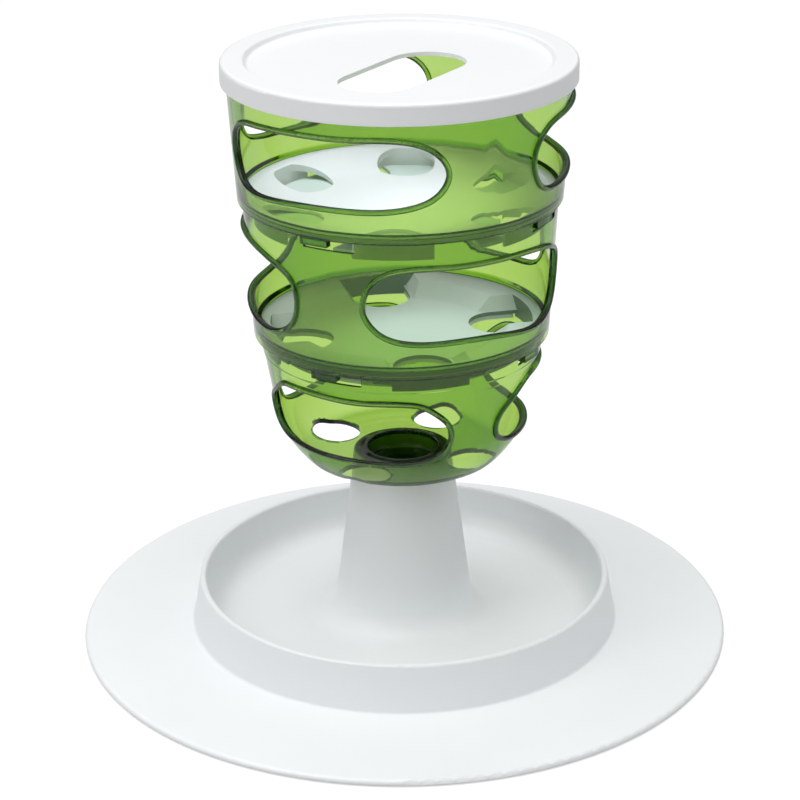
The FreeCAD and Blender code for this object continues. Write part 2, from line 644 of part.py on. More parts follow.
# Lid
def make_lid():
    ring_under = UPPER_TOP
    top = ring_under + LID_T
    recess = top - LID_RECESS
    lid = turned([
        (0, recess, 0),
        (LID_RECESS_R - RECESS_LEAN, recess, RECESS_ROUND),
        (LID_RECESS_R, top, ROUND_MEDIUM),
        (LID_R, top, LID_ROUND),
        (LID_R, top - LID_H, ROUND_SMALL),
        (UPPER_TOP_R + GAP, top - LID_H, ROUND_SMALL),
        (UPPER_TOP_R + GAP, ring_under, ROUND_FINE),
        (LID_RECESS_R + LID_T, ring_under, ROUND_FINE),
        (LID_RECESS_R + LID_T - RECESS_LEAN, recess - LID_T, RECESS_ROUND),
        (0, recess - LID_T, 0),
    ])
    low = recess - 2 * LID_T
    high = top + LID_T
    slot = Part.makeBox(SLOT_REACH, 2 * SLOT_R, high - low, vec(0, -SLOT_R, low))
    slot = slot.fuse(post(SLOT_R, 0, 0, low, high)).fuse(post(SLOT_R, SLOT_REACH, 0, low, high))
    slot.rotate(ORIGIN, AXIS, SLOT_PLAN)
    slot.translate(vec(SLOT_X, SLOT_Y, 0))
    return lid.cut(slot)


os.makedirs("parts", exist_ok=True)
export("base_tray", make_base_tray())
export("rubber_pads", make_rubber_pads())
export("lower_section", make_lower_section())
export("middle_level_disc", make_middle_level_disc())
export("middle_shutter", make_middle_shutter())
export("middle_section", make_middle_section())
export("upper_level_disc", make_upper_level_disc())
export("upper_shutter", make_upper_shutter())
export("upper_section", make_upper_section())
export("lid", make_lid())
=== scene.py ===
import math

import bmesh
import bpy
import numpy as np
from mathutils import Matrix, Vector


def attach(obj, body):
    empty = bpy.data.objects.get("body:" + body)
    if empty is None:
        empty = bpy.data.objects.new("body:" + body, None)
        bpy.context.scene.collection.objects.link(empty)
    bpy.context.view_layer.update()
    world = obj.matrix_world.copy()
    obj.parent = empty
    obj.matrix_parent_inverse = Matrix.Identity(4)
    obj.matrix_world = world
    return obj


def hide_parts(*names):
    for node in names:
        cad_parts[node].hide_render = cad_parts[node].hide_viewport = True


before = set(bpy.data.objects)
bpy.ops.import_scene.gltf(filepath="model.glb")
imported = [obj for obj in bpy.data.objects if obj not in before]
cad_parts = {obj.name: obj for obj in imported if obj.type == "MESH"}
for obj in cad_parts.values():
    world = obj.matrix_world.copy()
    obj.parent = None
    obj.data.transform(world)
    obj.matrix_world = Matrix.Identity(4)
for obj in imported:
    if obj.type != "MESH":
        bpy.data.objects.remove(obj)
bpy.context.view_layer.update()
scene = bpy.context.scene


# Tray: a wide skirt, a ring, a sunk floor and a hollow stem in one injection moulding of white
# ABS. It stands by its own weight and carries the three drums on the stem.
def linear(hex_colour):
    """Linear RGBA of an sRGB hex colour."""
    channels = [int(hex_colour[i:i + 2], 16) / 255 for i in (1, 3, 5)]
    return [c / 12.92 if c <= 0.04045 else ((c + 0.055) / 1.055) ** 2.4 for c in channels] + [1.0]


def add_node(tree, kind, links=(), **settings):
    """Adds a node. Settings name its properties, or its inputs after in_ with _ for spaces."""
    node = tree.nodes.new(kind)
    for name, value in settings.items():
        if name.startswith("in_"):
            node.inputs[name[3:].replace("_", " ")].default_value = value
        else:
            setattr(node, name, value)
    for socket, source in links:
        tree.links.new(source, node.inputs[socket])
    return node


# The Mix node's sockets for colours, which share their names with its other sockets.
MIX_A = 6
MIX_B = 7
MIX_RESULT = 2

TONE_PATCH_MM = 45.0
GRAIN_DEPTH_MM = 0.2
GRAIN_STRENGTH = 0.12
SMOOTHER = 0.03
ROUGHER = 0.05
MOULDED_IOR = 1.54


def opaque_moulding(name, colour, shade, roughness, grain_mm, painted_shade=None):
    """Opaque moulded plastic or rubber: tone and gloss vary faintly over patches, and the mould
    leaves a fine grain. The real grain is under 0.3 mm wide and is drawn as coarse as it needs
    to show. An optional darker colour is painted shade on the faces marked for it."""
    material = bpy.data.materials.new(name)
    material.use_nodes = True
    tree = material.node_tree
    tree.nodes.clear()
    place = add_node(tree, "ShaderNodeTexCoord").outputs["Object"]
    patches = add_node(tree, "ShaderNodeTexNoise", [("Vector", place)],
                       in_Scale=1000 / TONE_PATCH_MM, in_Detail=3.0)
    tone = add_node(tree, "ShaderNodeMix", [("Factor", patches.outputs["Fac"])],
                    data_type="RGBA")
    tone.inputs[MIX_A].default_value = linear(colour)
    tone.inputs[MIX_B].default_value = linear(shade)
    if painted_shade:
        marked = add_node(tree, "ShaderNodeAttribute", attribute_name="painted_shade")
        tone = add_node(tree, "ShaderNodeMix", [("Factor", marked.outputs["Fac"]),
                                                (MIX_A, tone.outputs[MIX_RESULT])],
                        data_type="RGBA")
        tone.inputs[MIX_B].default_value = linear(painted_shade)
    grain = add_node(tree, "ShaderNodeTexNoise", [("Vector", place)],
                     in_Scale=1000 / grain_mm, in_Detail=2.0)
    gloss = add_node(tree, "ShaderNodeMapRange", [("Value", patches.outputs["Fac"])])
    gloss.inputs["To Min"].default_value = roughness - SMOOTHER
    gloss.inputs["To Max"].default_value = roughness + ROUGHER
    bump = add_node(tree, "ShaderNodeBump", [("Height", grain.outputs["Fac"])],
                    in_Strength=GRAIN_STRENGTH, in_Distance=GRAIN_DEPTH_MM / 1000)
    shader = add_node(tree, "ShaderNodeBsdfPrincipled",
                      [("Base Color", tone.outputs[MIX_RESULT]),
                       ("Roughness", gloss.outputs["Result"]),
                       ("Normal", bump.outputs["Normal"])], in_IOR=MOULDED_IOR)
    add_node(tree, "ShaderNodeOutputMaterial", [("Surface", shader.outputs["BSDF"])])
    return material


def finish_node(name, material):
    """Gives a CAD node its finish."""
    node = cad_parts[name]
    node.data.materials.clear()
    node.data.materials.append(material)


# ABS from a finely eroded mould: a cool white with a soft, broad gloss.
TRAY_ABS = opaque_moulding("moulded white ABS, tray", "#F1F3F4", "#ECEFF1", 0.36, 1.2)
finish_node("base_tray", TRAY_ABS)


# Pads: six dark grey rubber discs with a rounded foot, moulded and pressed into seats under the
# tray's skirt. The tray stands on them.
def tree_with(name, inputs):
    """An empty Geometry Nodes tree, its input sockets' identifiers by name, and what they give."""
    tree = bpy.data.node_groups.new(name, "GeometryNodeTree")
    sockets = {}
    for label, kind in inputs:
        sockets[label] = tree.interface.new_socket(label, in_out="INPUT",
                                                   socket_type="NodeSocket" + kind).identifier
    tree.interface.new_socket("Geometry", in_out="OUTPUT", socket_type="NodeSocketGeometry")
    return tree, sockets, add_node(tree, "NodeGroupInput").outputs


def end_tree(tree, geometry, material):
    """The end of every tree: real geometry with its material."""
    real = add_node(tree, "GeometryNodeRealizeInstances", [("Geometry", geometry)])
    painted = add_node(tree, "GeometryNodeSetMaterial", [("Geometry", real.outputs[0]),
                                                         ("Material", material)])
    add_node(tree, "NodeGroupOutput", [(0, painted.outputs[0])])


def grown(name, mesh, tree, settings):
    """An object with the plain mesh that a tree makes of a mesh."""
    part = bpy.data.objects.new(name, mesh)
    scene.collection.objects.link(part)
    change = part.modifiers.new(tree.name, "NODES")
    change.node_group = tree
    for socket, value in settings.items():
        change[socket] = value
    ready = part.evaluated_get(bpy.context.evaluated_depsgraph_get())
    plain = bpy.data.meshes.new_from_object(ready)
    part.modifiers.clear()
    part.data = plain
    return part


def circle_tree():
    """Geometry Nodes tree that stands copies of a mesh on a circle round the axis."""
    tree, sockets, given = tree_with("copies on a circle", (
        ("Geometry", "Geometry"), ("Count", "Int"), ("Radius", "Float"), ("First Turn", "Float"),
        ("Material", "Material")))
    circle = add_node(tree, "GeometryNodeMeshCircle", [("Vertices", given["Count"]),
                                                       ("Radius", given["Radius"])])
    turn = add_node(tree, "ShaderNodeCombineXYZ", [("Z", given["First Turn"])])
    places = add_node(tree, "GeometryNodeTransform", [("Geometry", circle.outputs[0]),
                                                      ("Rotation", turn.outputs[0])])
    copies = add_node(tree, "GeometryNodeInstanceOnPoints", [("Points", places.outputs[0]),
                                                             ("Instance", given["Geometry"])])
    end_tree(tree, copies.outputs[0], given["Material"])
    return tree, sockets


def turned(name, profile, steps, sharp_from):
    """A closed mesh turned from a profile that starts and ends on the axis, in millimetres."""
    verts = [(0.0, 0.0, profile[0][1] / 1000)]
    for radius, height in profile[1:-1]:
        for k in range(steps):
            angle = 2 * math.pi * k / steps
            verts.append((radius * math.cos(angle) / 1000, radius * math.sin(angle) / 1000,
                          height / 1000))
    verts.append((0.0, 0.0, profile[-1][1] / 1000))
    last = len(verts) - 1
    faces = []
    for k in range(steps):
        after = (k + 1) % steps
        faces.append((0, 1 + after, 1 + k))
        for row in range(1, last - steps, steps):
            faces.append((row + k, row + after, row + steps + after, row + steps + k))
        faces.append((last - steps + k, last - steps + after, last))
    mesh = bpy.data.meshes.new(name)
    mesh.from_pydata(verts, [], faces)
    mesh.shade_smooth()
    mesh.set_sharp_from_angle(angle=math.radians(sharp_from))
    return mesh


# Soft rubber: dark, matt and a little uneven.
PAD_RUBBER = opaque_moulding("moulded grey rubber", "#3B3D3E", "#333536", 0.7, 1.0)

PADS = 6
PAD_CIRCLE_R = 150.0
PAD_FIRST_TURN = 30.0
PAD_R = 7.0
PAD_H = 1.6
PAD_ROUND = 0.5
PAD_STEPS = 64
PAD_SHARP_FROM = 38.0
foot = [(PAD_R - PAD_ROUND + PAD_ROUND * math.sin(math.radians(a)),
         PAD_ROUND - PAD_ROUND * math.cos(math.radians(a))) for a in range(0, 91, 15)]
pad = turned("pad", [(0.0, 0.0)] + foot + [(PAD_R, PAD_H), (0.0, PAD_H)], PAD_STEPS,
             PAD_SHARP_FROM)
CIRCLE_TREE, CIRCLE_SOCKETS = circle_tree()
pads = grown("rubber_pads_moulding", pad, CIRCLE_TREE, {
    CIRCLE_SOCKETS["Count"]: PADS,
    CIRCLE_SOCKETS["Radius"]: PAD_CIRCLE_R / 1000,
    CIRCLE_SOCKETS["First Turn"]: math.radians(PAD_FIRST_TURN),
    CIRCLE_SOCKETS["Material"]: PAD_RUBBER})
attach(pads, "base")
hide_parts("rubber_pads")


# Lower section: a drum with a floor, injection moulded in clear green polycarbonate with an even
# wall, three windows with a round bead along them and four floor holes. A cup under the floor
# plugs into the stem, and the neck has slots for the next drum's lugs.
CLEAR_IOR = 1.5
LEAST_THROUGH = 0.004


def clear_plastic(name, through, edge, wall_mm, roughness):
    """Clear plastic whose wall lets that colour through. Its colour is painted darker on the faces
    marked along beads and rims, as far as their points count as side: painted dark for the
    little light that leaves the plastic there."""
    material = bpy.data.materials.new(name)
    material.use_nodes = True
    tree = material.node_tree
    tree.nodes.clear()
    tint = linear(through)[:3]
    loss = [-math.log(max(c, LEAST_THROUGH)) / (wall_mm / 1000) for c in tint]
    density = max(loss)
    marked = add_node(tree, "ShaderNodeAttribute", attribute_name="edge")
    side = add_node(tree, "ShaderNodeAttribute", attribute_name="side")
    share = add_node(tree, "ShaderNodeMath", [(0, marked.outputs["Fac"]),
                                              (1, side.outputs["Fac"])], operation="MULTIPLY")
    base = add_node(tree, "ShaderNodeMix", [("Factor", share.outputs[0])], data_type="RGBA")
    base.inputs[MIX_A].default_value = (1.0, 1.0, 1.0, 1.0)
    base.inputs[MIX_B].default_value = linear(edge)
    glass = add_node(tree, "ShaderNodeBsdfPrincipled",
                     [("Base Color", base.outputs[MIX_RESULT])],
                     in_Roughness=roughness, in_IOR=CLEAR_IOR, in_Transmission_Weight=1.0)
    passing = add_node(tree, "ShaderNodeBsdfTransparent",
                       in_Color=[math.sqrt(c) for c in tint] + [1.0])
    rays = add_node(tree, "ShaderNodeLightPath")
    surface = add_node(tree, "ShaderNodeMixShader", [("Fac", rays.outputs["Is Shadow Ray"]),
                                                     (1, glass.outputs["BSDF"]),
                                                     (2, passing.outputs["BSDF"])])
    body = add_node(tree, "ShaderNodeVolumeAbsorption", in_Density=density,
                    in_Color=[1 - c / density for c in loss] + [1.0])
    add_node(tree, "ShaderNodeOutputMaterial", [("Surface", surface.outputs["Shader"]),
                                                ("Volume", body.outputs["Volume"])])
    return material


WALL = 2.0

# Polycarbonate from a polished mould is glassy. Its wall lets light green through, and little
# light leaves it at rims and on the flanks of beads, so there it looks dark. That dark is painted
# into its colour there.
CLEAR_GREEN = clear_plastic("moulded clear green polycarbonate", "#AFD06D", "#4A7A38", WALL, 0.03)

WELD_M = 0.000001


def painted_dark_edge_tree():
    """Geometry Nodes tree that welds a mesh, marks its faces along some lines for painted dark,
    and says for each point how far it counts as side, that is how much painted dark it takes:
    not at all on a bead's crests, inside and outside, where the light crosses straight, and
    fully along a rim."""
    tree, sockets, given = tree_with("marked edges", (
        ("Geometry", "Geometry"), ("Beads", "Object"), ("Rims", "Object"), ("Reach", "Float"),
        ("Crest", "Float"), ("Material", "Material")))
    along = {}
    for lines in ("Beads", "Rims"):
        source = add_node(tree, "GeometryNodeObjectInfo", [("Object", given[lines])])
        away = add_node(tree, "GeometryNodeProximity", [(0, source.outputs["Geometry"])],
                        target_element="EDGES")
        near = add_node(tree, "FunctionNodeCompare", [("A", away.outputs["Distance"]),
                                                      ("B", given["Reach"])],
                        operation="LESS_THAN")
        corners = add_node(tree, "GeometryNodeFieldOnDomain", data_type="BOOLEAN", domain="POINT")
        tree.links.new(near.outputs[0], corners.inputs[0])
        along[lines] = corners.outputs[0]
    place = add_node(tree, "GeometryNodeInputPosition")
    flat = add_node(tree, "ShaderNodeVectorMath", [(0, place.outputs[0])], operation="MULTIPLY")
    flat.inputs[1].default_value = (1.0, 1.0, 0.0)
    outwards = add_node(tree, "ShaderNodeVectorMath", [(0, flat.outputs[0])],
                        operation="NORMALIZE")
    normal = add_node(tree, "GeometryNodeInputNormal")
    facing = add_node(tree, "ShaderNodeVectorMath", [(0, outwards.outputs[0]),
                                                     (1, normal.outputs[0])],
                      operation="DOT_PRODUCT")
    straight = add_node(tree, "ShaderNodeMath", [(0, facing.outputs["Value"])],
                        operation="ABSOLUTE")
    flank = add_node(tree, "ShaderNodeMapRange", [("Value", straight.outputs[0]),
                                                  ("From Min", given["Crest"])])
    flank.inputs["To Min"].default_value = 1.0
    flank.inputs["To Max"].default_value = 0.0
    side = add_node(tree, "ShaderNodeMath", [(0, flank.outputs[0]), (1, along["Rims"])],
                    operation="MAXIMUM")
    marked = add_node(tree, "FunctionNodeBooleanMath", [(0, along["Beads"]), (1, along["Rims"])],
                      operation="OR")
    welded = add_node(tree, "GeometryNodeMergeByDistance", [("Geometry", given["Geometry"])],
                      in_Distance=WELD_M)
    edges = add_node(tree, "GeometryNodeStoreNamedAttribute", [("Geometry", welded.outputs[0])],
                     data_type="FLOAT", domain="FACE", in_Name="edge")
    tree.links.new(marked.outputs[0], edges.inputs["Value"])
    sides = add_node(tree, "GeometryNodeStoreNamedAttribute", [("Geometry", edges.outputs[0])],
                     data_type="FLOAT", domain="POINT", in_Name="side")
    tree.links.new(side.outputs[0], sides.inputs["Value"])
    end_tree(tree, sides.outputs[0], given["Material"])
    return tree, sockets


def smooth_loop(points, count):
    """Points at even steps on the closed cubic curve through points."""
    p = np.array(points, float)
    n = len(p)
    gap = np.linalg.norm(np.roll(p, -1, 0) - p, axis=1)
    slope = (np.roll(p, -1, 0) - p) / gap[:, None]
    system = np.zeros((n, n))
    for i in range(n):
        system[i, i - 1] += gap[i - 1]
        system[i, i] += 2 * (gap[i - 1] + gap[i])
        system[i, (i + 1) % n] += gap[i]
    bend = np.linalg.solve(system, 6 * (slope - np.roll(slope, 1, 0)))
    knots = np.concatenate([[0], np.cumsum(gap)])
    out = []
    for t in np.linspace(0, knots[-1], count, endpoint=False):
        i = min(int(np.searchsorted(knots, t, side="right")) - 1, n - 1)
        j = (i + 1) % n
        a = knots[i + 1] - t
        b = t - knots[i]
        h = gap[i]
        out.append((bend[i] * a ** 3 + bend[j] * b ** 3) / (6 * h)
                   + (p[i] / h - bend[i] * h / 6) * a + (p[j] / h - bend[j] * h / 6) * b)
    return out


# The windows' outlines are azimuths from the front, in degrees, and heights over the section's
# lowest point, in millimetres. A bead's middle lies a little outside the wall's outer side.
FRONT = math.radians(270.0)
WINDOWS = 3
WINDOW_POINTS = 300
BEAD_OUT = 0.5


def window_line(outline, bottom, radius_at):
    """Middle line of a window's bead."""
    points = []
    for azimuth, height in outline:
        radius = radius_at(height) + BEAD_OUT
        angle = FRONT + math.radians(azimuth)
        points.append((radius * math.cos(angle), radius * math.sin(angle), bottom + height))
    return smooth_loop(points, WINDOW_POINTS)


RIM_POINTS = 240


def circle_line(radius, height):
    """A closed circle round the axis."""
    turns = [k * math.pi / (RIM_POINTS / 2) for k in range(RIM_POINTS)]
    return [(radius * math.cos(turn), radius * math.sin(turn), height) for turn in turns]


def turned_about(line, count):
    """A line repeated round the axis."""
    lines = []
    for k in range(count):
        turn = Matrix.Rotation(2 * math.pi * k / count, 3, "Z")
        lines.append([tuple(turn @ Vector(point)) for point in line])
    return lines


def guide(name, lines):
    """An object of closed lines, in millimetres."""
    verts = []
    edges = []
    for line in lines:
        first = len(verts)
        verts += [(x / 1000, y / 1000, z / 1000) for x, y, z in line]
        edges += [(first + k, first + (k + 1) % len(line)) for k in range(len(line))]
    mesh = bpy.data.meshes.new(name)
    mesh.from_pydata(verts, edges, [])
    carrier = bpy.data.objects.new(name, mesh)
    scene.collection.objects.link(carrier)
    return carrier


MOULDING_SHARP_FROM = 30.0


def smoothed(mesh):
    """Smooth shading up to an angle, in place of the normals that came with a CAD mesh."""
    kept = mesh.attributes.get("custom_normal")
    if kept:
        mesh.attributes.remove(kept)
    mesh.shade_smooth()
    mesh.set_sharp_from_angle(angle=math.radians(MOULDING_SHARP_FROM))


PAINTED_DARK_EDGE_TREE, PAINTED_DARK_EDGE_SOCKETS = painted_dark_edge_tree()
PAINTED_DARK_REACH = 2.0
CREST = 0.78


def green_section(name, beads, rims):
    """A section with its edges marked for painted dark: a copy of the CAD node that takes its
    place.
    """
    bead_lines = guide(name + " beads", beads)
    rim_lines = guide(name + " rims", rims)
    part = grown(name + "_moulding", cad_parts[name].data.copy(), PAINTED_DARK_EDGE_TREE, {
        PAINTED_DARK_EDGE_SOCKETS["Beads"]: bead_lines,
        PAINTED_DARK_EDGE_SOCKETS["Rims"]: rim_lines,
        PAINTED_DARK_EDGE_SOCKETS["Reach"]: PAINTED_DARK_REACH / 1000,
        PAINTED_DARK_EDGE_SOCKETS["Crest"]: CREST,
        PAINTED_DARK_EDGE_SOCKETS["Material"]: CLEAR_GREEN})
    bpy.data.objects.remove(bead_lines)
    bpy.data.objects.remove(rim_lines)
    smoothed(part.data)
    return part


LOWER_WINDOW = [
    (-53.6, 55.6), (-36.0, 56.0), (-18.0, 55.6), (0.0, 55.9), (7.6, 54.2),
    (14.6, 48.4), (19.6, 41.6), (21.0, 35.8), (19.4, 28.4), (13.4, 22.8),
    (3.5, 20.2), (-18.0, 20.1), (-40.0, 20.2), (-56.0, 21.0), (-68.0, 23.4),
    (-75.0, 29.4), (-75.4, 37.6), (-67.4, 47.2),
]
LOWER_BOTTOM = 102.0
CORNER_R = 33.7
CORNER_MIDDLE = 33.59
CORNER_TOP = 28.0
LOWER_SIDE_R = 66.8
LOWER_SIDE_SLOPE = 0.1733
NECK_R = 72.6
NECK_TOP = 174.0
FLOOR_HOLES = 4
FLOOR_HOLE_R = 13.0
FLOOR_HOLE_OUT = 40.7
FLOOR_HOLE_PLAN = math.radians(62.0)
FLOOR_HOLE_POINTS = 120


def lower_radius(height):
    """Radius of the lower section's outer side at a height over its bottom."""
    if height < CORNER_TOP:
        return CORNER_MIDDLE + math.sqrt(CORNER_R ** 2 - (CORNER_R - height) ** 2)
    return LOWER_SIDE_R + (height - CORNER_TOP) * LOWER_SIDE_SLOPE


floor_hole = []
for k in range(FLOOR_HOLE_POINTS):
    turn = k * math.pi / (FLOOR_HOLE_POINTS / 2)
    x = FLOOR_HOLE_OUT * math.cos(FLOOR_HOLE_PLAN) + FLOOR_HOLE_R * math.cos(turn)
    y = FLOOR_HOLE_OUT * math.sin(FLOOR_HOLE_PLAN) + FLOOR_HOLE_R * math.sin(turn)
    past_flat = max(0.0, math.hypot(x, y) - CORNER_MIDDLE)
    rise = CORNER_R - math.sqrt((CORNER_R - WALL / 2) ** 2 - past_flat ** 2)
    floor_hole.append((x, y, LOWER_BOTTOM + rise))
lower = green_section("lower_section",
                      turned_about(window_line(LOWER_WINDOW, LOWER_BOTTOM, lower_radius), WINDOWS),
                      turned_about(floor_hole, FLOOR_HOLES) + [circle_line(NECK_R, NECK_TOP)])

# The floor runs nearly flat out to a low edge, where the side starts with a round of its own.
# The drops are from one round that would run out into the floor, by the distance from the axis,
# in millimetres. The cup under the floor stays where it is.
DROP_RADII = [38.0, 42.0, 45.0, 48.0, 51.0, 53.0, 56.0, 60.0, 64.0, 66.5]
DROPS = [0.0, 0.6, 1.2, 2.2, 3.6, 3.3, 2.3, 1.2, 0.3, 0.0]
UNDER_FLOOR = 0.1
corner_from = (LOWER_BOTTOM - UNDER_FLOOR) / 1000
corner_to = (LOWER_BOTTOM + CORNER_TOP) / 1000
for vert in lower.data.vertices:
    radius = 1000 * math.hypot(vert.co.x, vert.co.y)
    if corner_from < vert.co.z < corner_to:
        around = [radius - 1.0, radius, radius + 1.0]
        vert.co.z -= sum(np.interp(around, DROP_RADII, DROPS)) / (1000 * len(around))
smoothed(lower.data)
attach(lower, "lower")
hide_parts("lower_section")

# Middle level disc: white polypropylene, injection moulded, laid into the lower section's neck.
# It has four raised platforms and four drop holes, and baffles hang under it. The baffles and
# the holes' walls lie in shade between the drums, and that shade is painted into their colour.

# Polypropylene: a milky, slightly green white, softer in its gloss than ABS.
# Its last colour, a dark grey green, is painted shade on the middle disc's baffles and hole walls.
DISC_PP = opaque_moulding("moulded white polypropylene, discs", "#EEF2F1", "#E9EEED", 0.42, 1.0,
                          "#7C9080")
# The baffles stand outside a radius and under a height. A hole's wall reaches from and to a
# distance from the axis along its plan angle, half its width to each side.
BAFFLE_R = 68.3
BAFFLE_TOP = 176.8
DROP_HOLE_PLANS = [math.radians(plan) for plan in (12.0, 102.0, 192.0, 282.0)]
DROP_HOLE_FROM = 36.0
DROP_HOLE_TO = 69.0
DROP_HOLE_HALF = 15.7
DROP_HOLE_WALL_TOP = 170.0
UPRIGHT_UNDER = 0.3
disc = bpy.data.objects.new("middle_level_disc_moulding",
                            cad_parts["middle_level_disc"].data.copy())
scene.collection.objects.link(disc)
work = bmesh.new()
work.from_mesh(disc.data)
bmesh.ops.remove_doubles(work, verts=work.verts, dist=WELD_M)
work.to_mesh(disc.data)
work.free()
smoothed(disc.data)
disc.data.materials.clear()
disc.data.materials.append(DISC_PP)
# Painted shade: the upright faces of the baffles and the holes' walls are marked for the dark
# colour.
painted_shade = disc.data.attributes.new("painted_shade", "FLOAT", "FACE")
for face in disc.data.polygons:
    x, y, z = (1000 * c for c in face.center)
    gets_painted_shade = math.hypot(x, y) > BAFFLE_R and z < BAFFLE_TOP
    for plan in DROP_HOLE_PLANS:
        along = x * math.cos(plan) + y * math.sin(plan)
        beside = y * math.cos(plan) - x * math.sin(plan)
        gets_painted_shade = gets_painted_shade or (DROP_HOLE_FROM < along < DROP_HOLE_TO
                            and abs(beside) < DROP_HOLE_HALF and z < DROP_HOLE_WALL_TOP)
    if gets_painted_shade and abs(face.normal.z) < UPRIGHT_UNDER:
        painted_shade.data[face.index].value = 1.0
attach(disc, "lower")
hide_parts("middle_level_disc")

# Middle shutter: a fan of four blades, injection moulded in white polypropylene. It snaps on the
# stub under the middle level disc and turns there to open or close the drop holes.

# Polypropylene as on the discs, painted a little darker and greener: painted shade and
# green light for blades that lie under the discs inside the green drums.
SHUTTER_PP_PAINTED_SHADE = opaque_moulding("moulded white polypropylene, shutters, painted shade", "#D3E2DA", "#CEDDD5", 0.45,
                             1.0)
finish_node("middle_shutter", SHUTTER_PP_PAINTED_SHADE)


# Middle section: an open drum of the same clear green polycarbonate with three windows. Lugs
# under its skirt turn into the slots of the lower section's neck and lock.
def wall_rims(radius, widens, bottom, height):
    """The lower and the upper rim of an open drum, at the middle of its wall."""
    return [circle_line(radius - WALL / 2, bottom),
            circle_line(radius + widens - WALL / 2, bottom + height)]


MIDDLE_WINDOW = [
    (-13.9, 38.4), (-12.6, 46.6), (-8.0, 55.0), (0.0, 59.0), (17.0, 59.6),
    (36.0, 59.2), (54.0, 57.9), (70.0, 53.2), (78.2, 46.2), (79.6, 35.4),
    (76.7, 24.3), (69.3, 17.2), (56.6, 15.0), (38.0, 18.2), (18.0, 19.6),
    (2.4, 20.4), (-6.5, 24.0), (-11.8, 30.6),
]
MIDDLE_BOTTOM = 172.5
MIDDLE_HEIGHT = 73.4
MIDDLE_R = 77.3
MIDDLE_WIDENS = 3.9
middle_bead = window_line(MIDDLE_WINDOW, MIDDLE_BOTTOM,
                          lambda height: MIDDLE_R + MIDDLE_WIDENS * height / MIDDLE_HEIGHT)
middle = green_section("middle_section", turned_about(middle_bead, WINDOWS),
                       wall_rims(MIDDLE_R, MIDDLE_WIDENS, MIDDLE_BOTTOM, MIDDLE_HEIGHT))
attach(middle, "middle")
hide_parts("middle_section")

# Upper level disc: the same white polypropylene, injection moulded, laid into the middle
# section's neck. It is dished and has six drop holes with baffles.
finish_node("upper_level_disc", DISC_PP)

# Upper shutter: a fan of six blades, injection moulded like the middle one. It snaps on the stub
# under the upper level disc.
finish_node("upper_shutter", SHUTTER_PP_PAINTED_SHADE)

# Upper section: the widest open drum, clear green polycarbonate with three windows. Its lugs lock
# into the middle section's neck, and its rim carries the lid.
UPPER_WINDOW = [
    (-70.9, 36.0), (-69.6, 25.5), (-65.5, 18.4), (-57.5, 15.4), (-39.6, 16.4),
    (-18.0, 17.0), (3.5, 19.4), (12.2, 25.3), (15.6, 35.0), (12.6, 44.8),
    (4.0, 51.9), (-14.0, 53.2), (-36.0, 52.8), (-54.0, 51.6), (-65.6, 47.6),
]
UPPER_BOTTOM = 245.4
UPPER_HEIGHT = 70.0
UPPER_R = 83.7
UPPER_WIDENS = 4.25
upper_bead = window_line(UPPER_WINDOW, UPPER_BOTTOM,
                         lambda height: UPPER_R + UPPER_WIDENS * height / UPPER_HEIGHT)
upper = green_section("upper_section", turned_about(upper_bead, WINDOWS),
                      wall_rims(UPPER_R, UPPER_WIDENS, UPPER_BOTTOM, UPPER_HEIGHT))
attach(upper, "upper")
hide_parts("upper_section")

# Lid: one injection moulding of white ABS with a shallow recess and a slot. Its skirt slips over
# the upper section's rim.

# ABS as on the tray, from a smoother mould, so it is a little glossier.
LID_ABS = opaque_moulding("moulded white ABS, lid", "#F1F3F4", "#EDEFF0", 0.34, 1.2)
finish_node("lid", LID_ABS)

# Floor and backdrop: one sheet of pale matt board. What the camera sees of it is lifted to white
# by its own material, and mirrored in plastic it is lifted less.
FLOOR_HALF = 8.0
BOARD_COLOUR = "#BCBCBC"
SEEN_LIFT = 0.58
MIRRORED_SHARE = 0.5
mesh = bpy.data.meshes.new("floor")
mesh.from_pydata([(-FLOOR_HALF, -FLOOR_HALF, 0.0), (FLOOR_HALF, -FLOOR_HALF, 0.0),
                  (FLOOR_HALF, FLOOR_HALF, 0.0), (-FLOOR_HALF, FLOOR_HALF, 0.0)], [],
                 [(0, 1, 2, 3)])
floor = bpy.data.objects.new("floor", mesh)
scene.collection.objects.link(floor)
board = bpy.data.materials.new("matt white board")
board.use_nodes = True
tree = board.node_tree
tree.nodes.clear()
rays = add_node(tree, "ShaderNodeLightPath")
seen = add_node(tree, "ShaderNodeMath", [(0, rays.outputs["Is Camera Ray"]),
                                         (1, rays.outputs["Is Transmission Ray"])],
                operation="ADD", use_clamp=True)
mirrored = add_node(tree, "ShaderNodeMath", [(0, rays.outputs["Is Glossy Ray"])],
                    operation="MULTIPLY")
mirrored.inputs[1].default_value = MIRRORED_SHARE
both = add_node(tree, "ShaderNodeMath", [(0, seen.outputs[0]), (1, mirrored.outputs[0])],
                operation="ADD", use_clamp=True)
lift = add_node(tree, "ShaderNodeMath", [(0, both.outputs[0])], operation="MULTIPLY")
lift.inputs[1].default_value = SEEN_LIFT
glow = add_node(tree, "ShaderNodeEmission", [("Strength", lift.outputs[0])])
matt = add_node(tree, "ShaderNodeBsdfDiffuse", in_Color=linear(BOARD_COLOUR))
paper = add_node(tree, "ShaderNodeAddShader", [(0, matt.outputs[0]), (1, glow.outputs[0])])
add_node(tree, "ShaderNodeOutputMaterial", [("Surface", paper.outputs[0])])
floor.data.materials.append(board)

